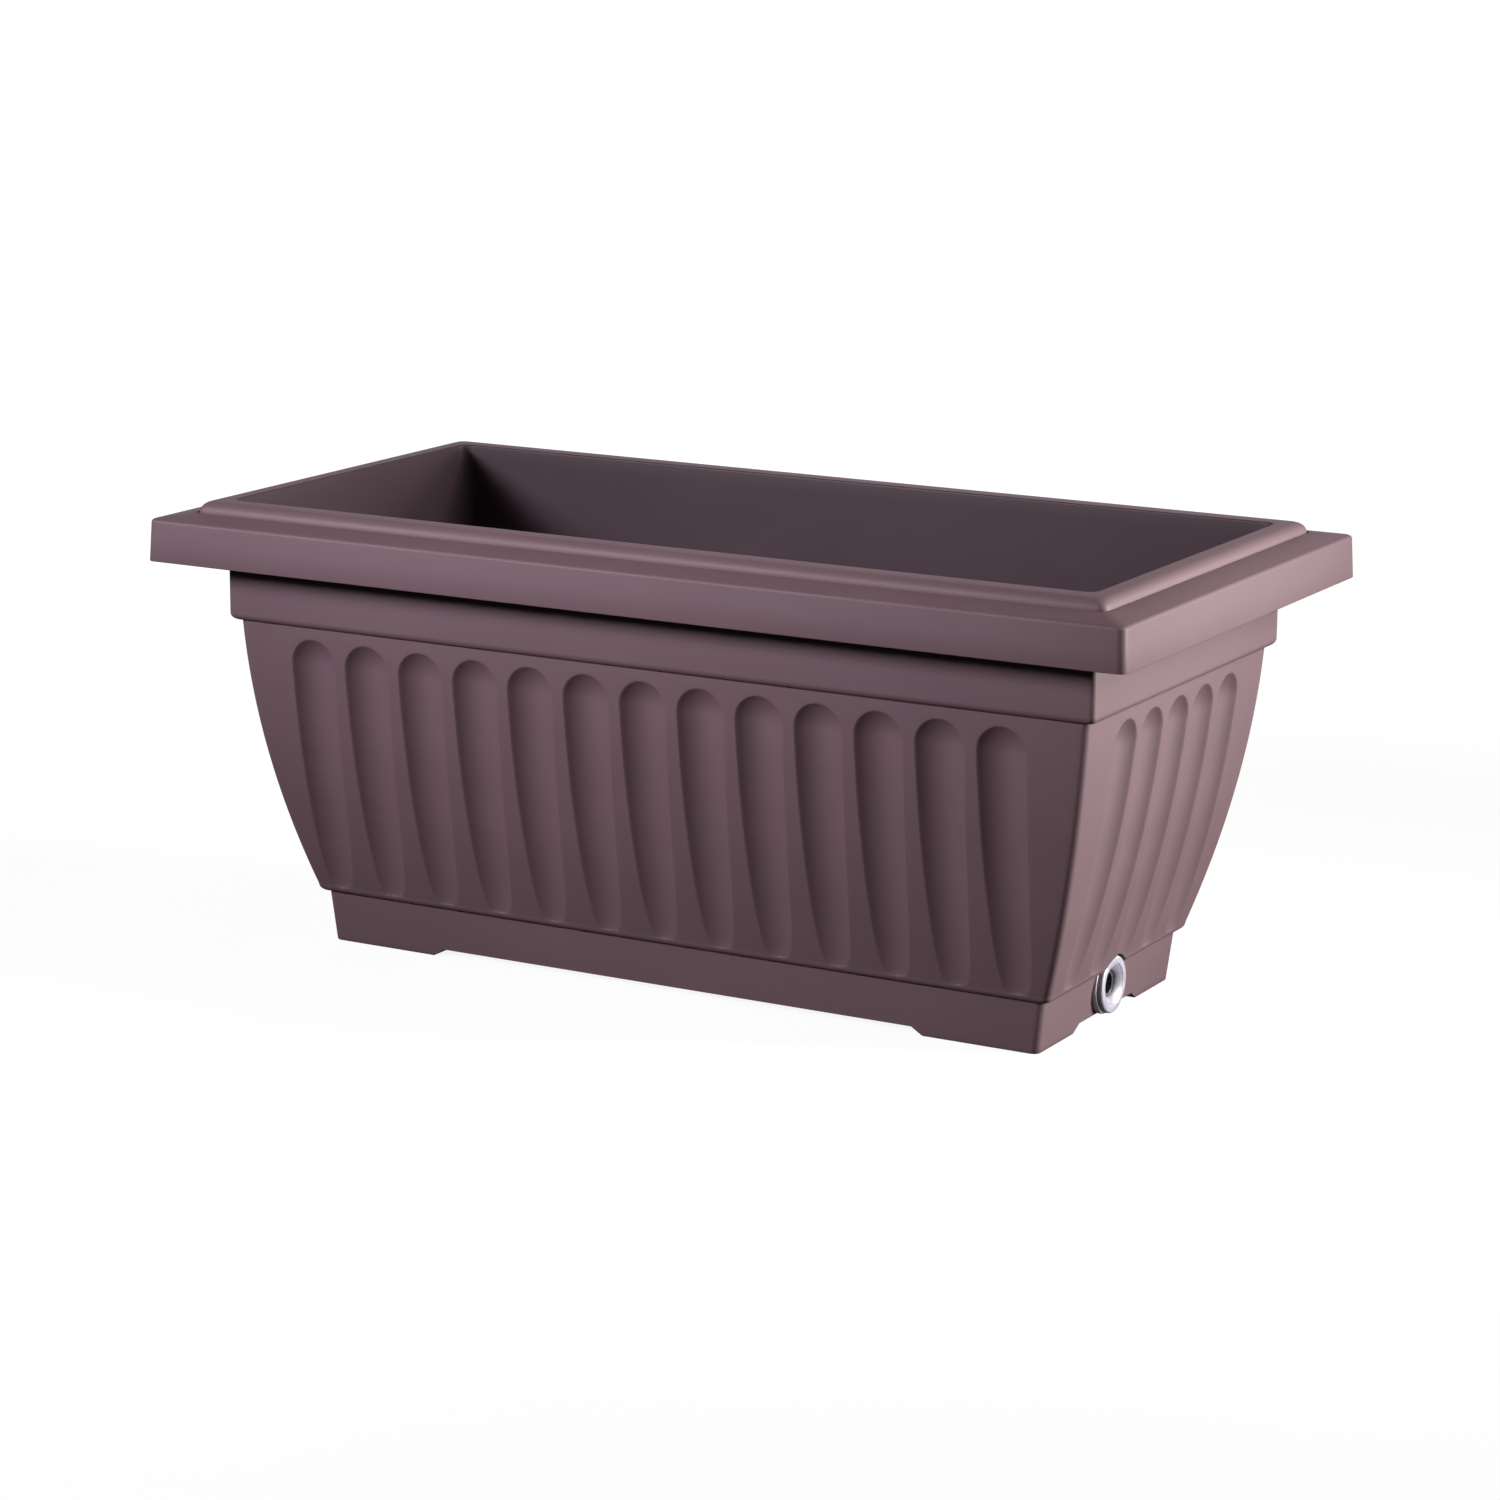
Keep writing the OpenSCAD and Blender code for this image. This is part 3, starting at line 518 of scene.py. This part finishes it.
def trough_skin():
    """Closed skin of the trough as vertices in metres and faces."""
    rows = inner_rows() + outer_rows()
    rings = [ring(*row) for row in rows]
    width = len(rings[0])
    vertices = [point for points in rings for point in points]
    faces = []
    for i in range(len(rings) - 1):
        for k in range(width):
            m = (k + 1) % width
            faces.append((i * width + k, i * width + m, (i + 1) * width + m, (i + 1) * width + k))
    for row, turn in ((0, -1), (len(rings) - 1, 1)):
        hub = len(vertices)
        vertices.append((0, 0, rings[row][0][2]))
        for k in range(width):
            edge = (row * width + k, row * width + (k + 1) % width)
            faces.append((hub, *edge[::turn]))
    return np.array(vertices) * MM, faces, (len(inner_rows()) - 1) * width


def prism(name, outline, low, high, along_x):
    """Prism for a boolean, in millimetres: an outline of (across, up) run along X or Y."""
    count = len(outline)
    vertices = []
    for place in (low, high):
        for across, up in outline:
            vertices.append((place, across, up) if along_x else (across, place, up))
    faces = [tuple(range(count)), tuple(range(2 * count - 1, count - 1, -1))]
    for i in range(count):
        j = (i + 1) % count
        faces.append((j, i, i + count, j + count))
    mesh = bpy.data.meshes.new(name)
    mesh.from_pydata([Vector(v) * MM for v in vertices], [], faces)
    maker = bmesh.new()
    maker.from_mesh(mesh)
    bmesh.ops.recalc_face_normals(maker, faces=maker.faces)
    maker.to_mesh(mesh)
    maker.free()
    cutter = bpy.data.objects.new(name, mesh)
    bpy.context.scene.collection.objects.link(cutter)
    return cutter


def drain_disc(name, radius, low, high):
    """Cylinder along X on the drain's centre line."""
    outline = arc_points(DRAIN, radius, 0, 360, 97)[:-1]
    return prism(name, outline, low, high, True)


def combine(piece, other, operation):
    """Applies a boolean with another object and removes that object."""
    modifier = piece.modifiers.new(operation, "BOOLEAN")
    modifier.operation = operation
    modifier.object = other
    modifier.solver = "MANIFOLD"
    bpy.context.view_layer.update()
    evaluated = piece.evaluated_get(bpy.context.evaluated_depsgraph_get())
    mesh = bpy.data.meshes.new_from_object(evaluated)
    piece.modifiers.clear()
    old = piece.data
    piece.data = mesh
    bpy.data.meshes.remove(old)
    bpy.data.objects.remove(other)


DRAIN = (-4.5, 20.0)
DRAIN_FACE_X = HALF[0] - 71.3
DRAIN_INNER_X = HALF[0] - 78.6
GROMMET_R = 16.0
BOSS_R = GROMMET_R + 1
HOLE_R = 10.05


def foot_cutters():
    """Cutters for the gaps between the feet and the hollow inside each foot."""
    cutters = []
    for side in (0, 1):
        outer = HALF[1 - side] - PLINTH_FOOT_IN[1 - side] - FOOT_SPAN[1 - side]
        inner = outer - FOOT_SLOPE
        outline = [(-outer, -1), (outer, -1), (outer, 0), (inner, FOOT_H), (-inner, FOOT_H), (-outer, 0)]
        cutters.append(prism("gap", outline, -HALF[side], HALF[side], side == 0))
    pocket = [(span - 2 * WALL - FOOT_SLOPE) / 2 for span in FOOT_SPAN]
    for x in (-1, 1):
        for y in (-1, 1):
            centre = [sign * (HALF[i] - PLINTH_FOOT_IN[i] - FOOT_SPAN[i] / 2 + FOOT_SLOPE / 4)
                      for i, sign in enumerate((x, y))]
            square = ((-1, -1), (1, -1), (1, FOOT_H), (-1, FOOT_H))
            outline = [(centre[1] + a * pocket[1], h) for a, h in square]
            cutters.append(prism("pocket", outline, centre[0] - pocket[0], centre[0] + pocket[0], True))
    return cutters


def build_trough():
    vertices, faces, inner_faces = trough_skin()
    trough = new_piece("trough_moulding", vertices.tolist(), faces, PLUM, None)
    # the inner faces take the darkened inside plastic: painted shade
    trough.data.materials.append(PLUM_SMOOTH_SHADED)
    inside = [int(i < inner_faces) for i in range(len(faces))]
    trough.data.polygons.foreach_set("material_index", inside)
    for cutter in foot_cutters():
        combine(trough, cutter, "DIFFERENCE")
    boss = drain_disc("boss", BOSS_R, DRAIN_INNER_X, DRAIN_FACE_X)
    ground = [(-60, -20), (60, -20), (60, FOOT_H), (-60, FOOT_H)]
    combine(boss, prism("below", ground, DRAIN_INNER_X - 5, DRAIN_FACE_X + 5, True), "DIFFERENCE")
    combine(trough, boss, "UNION")
    combine(trough, drain_disc("scallop", BOSS_R, DRAIN_FACE_X, DRAIN_FACE_X + 30), "DIFFERENCE")
    combine(trough, drain_disc("hole", HOLE_R, DRAIN_INNER_X - 5, DRAIN_FACE_X + 30), "DIFFERENCE")
    trough.data.polygons.foreach_set("use_smooth", [True] * len(trough.data.polygons))
    trough.data.set_sharp_from_angle(angle=math.radians(35))
    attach(trough, "trough")
    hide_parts("planter_box")


build_trough()

# ------------------------------------------------------------------ drain grommet


def build_grommet():
    """Silicone ring: inner flange, neck through the wall, and a round outer flange with a flared mouth."""
    seat = DRAIN_FACE_X - DRAIN_INNER_X
    bore = 7.55
    neck = HOLE_R - 0.05
    back_r = 12.0
    face = seat + 3.2
    profile = [(bore, -2.0), (bore, seat - 1.0)]
    profile += [(bore + 3.6 * t ** 1.8, seat - 1.0 + 3.8 * t) for t in np.linspace(0.1, 1, 10)]
    profile += arc_points((12.3, face - 1.0), 1.0, 160, 90, 6)
    profile += arc_points((14.5, face - 1.5), 1.5, 90, 0, 8)
    profile += [(GROMMET_R, seat + 0.05), (neck, seat + 0.05), (neck, -0.05), (back_r - 0.4, -0.05)]
    profile += arc_points((back_r - 0.4, -0.45), 0.4, 90, -90, 5)[1:]
    profile += [(back_r - 0.8, -2.0)]
    vertices, faces = revolve(profile, 128)
    placed = [((DRAIN_INNER_X + z) * MM, (DRAIN[0] + y) * MM, (DRAIN[1] - x) * MM) for x, y, z in vertices]
    ring_piece = new_piece("silicone_ring", placed, faces, SILICONE, "trough", 50.0)
    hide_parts("drain_grommet")


build_grommet()

# ------------------------------------------------------------------ wick cords

CORD_PLACES = ((62, -34), (62, 52))
CORD_R = 3.5
STRAND_R = 1.78
TWIST_PITCH = 17.0
CORD_FOOT_Z = 9.5
PLATFORM_Z = 84.0
LIE_Z = PLATFORM_Z + CORD_R + 0.3
CORD_BEND = CORD_R + 1
CORD_LIE = 38.0


def cord_path(side, place, sway):
    """Centre line of one cord: up through its eyelet, over, and along the platform with a slight sway."""
    points = [Vector((0, 0, z)) for z in np.arange(CORD_FOOT_Z, LIE_Z - CORD_BEND, 0.9)]
    for a in np.radians(np.linspace(0, 90, 9)):
        across = CORD_BEND * (math.cos(a) - 1)
        points.append(Vector((across, 0, LIE_Z - CORD_BEND + CORD_BEND * math.sin(a))))
    for run in np.arange(0.9, CORD_LIE + 0.1, 0.9):
        wave = sway * math.sin(run / CORD_LIE * math.pi * 1.2) * run / CORD_LIE
        points.append(Vector((-CORD_BEND - run, wave, LIE_Z)))
    return [Vector((side * (place[0] + p.x), place[1] + p.y, p.z)) for p in points]


def strand(path, phase, radius, sides=9):
    """One yarn of a twisted cord as a closed tube that winds round the path."""
    vertices = []
    faces = []
    length = 0.0
    across = Vector((0, 1, 0))
    offset = CORD_R - radius
    for i, point in enumerate(path):
        ahead = path[min(i + 1, len(path) - 1)] - path[max(i - 1, 0)]
        along = ahead.normalized()
        across = (across - along * across.dot(along)).normalized()
        third = along.cross(across)
        length += (point - path[i - 1]).length if i else 0.0
        turn = 2 * math.pi * length / TWIST_PITCH + phase
        centre = point + (across * math.cos(turn) + third * math.sin(turn)) * offset
        for k in range(sides):
            a = 2 * math.pi * k / sides
            vertices.append(centre + (across * math.cos(a) + third * math.sin(a)) * radius)
    for i in range(len(path) - 1):
        for k in range(sides):
            m = (k + 1) % sides
            faces.append((i * sides + k, i * sides + m, (i + 1) * sides + m, (i + 1) * sides + k))
    last = (len(path) - 1) * sides
    faces.append(tuple(range(sides - 1, -1, -1)))
    faces.append(tuple(range(last, last + sides)))
    return vertices, faces


def build_cords():
    """Four three-strand twisted cotton cords in one piece."""
    vertices = []
    faces = []
    sways = iter((2.6, -2.0, -2.4, 1.8))
    for side in (-1, 1):
        for place in CORD_PLACES:
            path = cord_path(side, place, next(sways))
            for phase in (0, 2 * math.pi / 3, 4 * math.pi / 3):
                made, made_faces = strand(path, phase, STRAND_R)
                faces.extend(tuple(i + len(vertices) for i in face) for face in made_faces)
                vertices.extend(made)
    cords = new_piece("cotton_cords", [tuple(v * MM) for v in vertices], faces, COTTON, "platform", 60.0)
    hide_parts("wick_cords")


build_cords()

# ------------------------------------------------------------------ carried-over CAD nodes

NODE_MATERIALS = {
    "overflow_elbow": BLACK,
    "overflow_strainer": BLACK,
    "platform_left": CHARCOAL,
    "platform_right": CHARCOAL,
    "support_legs_left": CHARCOAL,
    "support_legs_right": CHARCOAL,
    "joining_clips": CHARCOAL,
    "wick_cup_left": CHARCOAL,
    "wick_cup_right": CHARCOAL,
    "fill_tube": BLACK,
    "fill_cap": BLACK,
    "hinge_pin": STEEL,
    "gauge_sleeve": BLACK,
    "gauge_bush": NYLON,
    "gauge_lens": ACRYLIC,
    "gauge_float": FOAM,
    "gauge_rod": STEEL,
    "gauge_flag": RED,
}
for node_name, material in NODE_MATERIALS.items():
    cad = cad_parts[node_name]
    cad.data.materials.clear()
    cad.data.materials.append(material)

# ------------------------------------------------------------------ stage, light and camera


def build_stage():
    """White sweep: a floor that curves up into a wall far behind."""
    depth = 3.0
    width = 5.0
    bend = 1.2
    profile = [(-depth, 0.0), (0.9 * depth, 0.0)]
    profile += [(0.9 * depth + bend * math.sin(a), bend - bend * math.cos(a))
                for a in np.radians(np.linspace(0, 90, 16))[1:]]
    profile += [(0.9 * depth + bend, 4.0)]
    vertices = [(x, y, z) for x in (-width, width) for y, z in profile]
    count = len(profile)
    faces = [(i, i + count, i + count + 1, i + 1) for i in range(count - 1)]
    mesh = bpy.data.meshes.new("stage_sweep")
    mesh.from_pydata(vertices, [], faces)
    mesh.polygons.foreach_set("use_smooth", [True] * len(mesh.polygons))
    s = Shader("stage_paper")
    s.set("Base Color", s.ramp(s.noise(3.0), [(0.3, (0.10, 0.10, 0.10)), (0.7, (0.12, 0.12, 0.12))]))
    s.set("Roughness", 0.9)
    # The paper glows white, dimmer within about a metre of the middle: a painted soft shadow round the
    # trough.
    length = s.node("ShaderNodeVectorMath")
    length.operation = "LENGTH"
    s.tree.links.new(s.coords, length.inputs[0])
    reach = s.node("ShaderNodeMapRange")
    for key, value in (("From Min", 0.3), ("From Max", 1.3), ("To Min", 0.90), ("To Max", 1.0)):
        reach.inputs[key].default_value = value
    s.tree.links.new(length.outputs["Value"], reach.inputs["Value"])
    s.set("Emission Color", (1.0, 1.0, 1.0, 1.0))
    s.set("Emission Strength", reach.outputs["Result"])
    mesh.materials.append(s.material)
    sweep = bpy.data.objects.new("stage_sweep", mesh)
    bpy.context.scene.collection.objects.link(sweep)
    sweep.visible_diffuse = False
    sweep.visible_glossy = False
    sweep.visible_shadow = False


def area_light(name, place, target, size, power, tint, spread_deg):
    data = bpy.data.lights.new(name, "AREA")
    data.spread = math.radians(spread_deg)
    data.color = tint
    data.shape = "RECTANGLE"
    data.size, data.size_y = size
    data.energy = power
    light = bpy.data.objects.new(name, data)
    light.location = place
    light.rotation_euler = (Vector(target) - Vector(place)).to_track_quat("-Z", "Y").to_euler()
    bpy.context.scene.collection.objects.link(light)


def build_camera():
    """Long-lens view from front right, a little above the rim."""
    azimuth = math.radians(29.19)
    elevation = math.radians(12.98)
    roll = math.radians(0.40)
    distance = 2.4036
    target = Vector((0.0012, 0.0012, 0.1220))
    back = Vector((math.sin(azimuth) * math.cos(elevation),
                   -math.cos(azimuth) * math.cos(elevation),
                   math.sin(elevation)))
    data = bpy.data.cameras.new("camera")
    data.lens = 102.28
    data.sensor_width = 36.0
    camera = bpy.data.objects.new("camera", data)
    camera.location = target + back * distance
    camera.rotation_euler = ((-back).to_track_quat("-Z", "Y").to_matrix()
                             @ Euler((0, 0, roll)).to_matrix()).to_euler()
    bpy.context.scene.collection.objects.link(camera)
    bpy.context.scene.camera = camera


build_stage()
build_camera()
# name, place, aim, size, watts, tint, spread in degrees
LIGHTS = (
    ("right_softbox", (1.60, 0.62, 0.40), (0.28, -0.10, 0.16), (0.5, 0.5), 4.6, (1.0, 0.985, 0.96), 40),
    ("left_softbox", (-1.08, -1.66, 0.92), (-0.01, 0, 0.33), (0.7, 0.4), 4.7, (0.97, 0.90, 0.985), 39),
    ("top_softbox", (1.15, 0.30, 0.95), (-0.25, 0, 0.24), (0.6, 0.6), 2.9, (1.0, 0.97, 0.94), 50),
    ("back_panel", (-0.95, 1.75, 0.50), (0, 0, 0.22), (2.4, 0.9), 3.5, (1.0, 0.98, 1.0), 150),
)
for light in LIGHTS:
    area_light(*light)

world = bpy.data.worlds.new("studio")
world.use_nodes = True
tree = world.node_tree
# soft light from above the floor only; white to the camera
direction = tree.nodes.new("ShaderNodeTexCoord")
split = tree.nodes.new("ShaderNodeSeparateXYZ")
tree.links.new(direction.outputs["Generated"], split.inputs["Vector"])
dome = tree.nodes.new("ShaderNodeMapRange")
for key, value in (("From Min", -0.05), ("From Max", 0.15), ("To Min", 0.02), ("To Max", 0.13)):
    dome.inputs[key].default_value = value
tree.links.new(split.outputs["Z"], dome.inputs["Value"])
path = tree.nodes.new("ShaderNodeLightPath")
strength = tree.nodes.new("ShaderNodeMapRange")
strength.inputs["To Max"].default_value = 1.0
tree.links.new(path.outputs["Is Camera Ray"], strength.inputs["Value"])
tree.links.new(dome.outputs["Result"], strength.inputs["To Min"])
tree.links.new(strength.outputs["Result"], tree.nodes["Background"].inputs["Strength"])
tree.nodes["Background"].inputs["Color"].default_value = (1.0, 1.0, 1.0, 1.0)
bpy.context.scene.world = world
bpy.context.scene.view_settings.view_transform = "Standard"
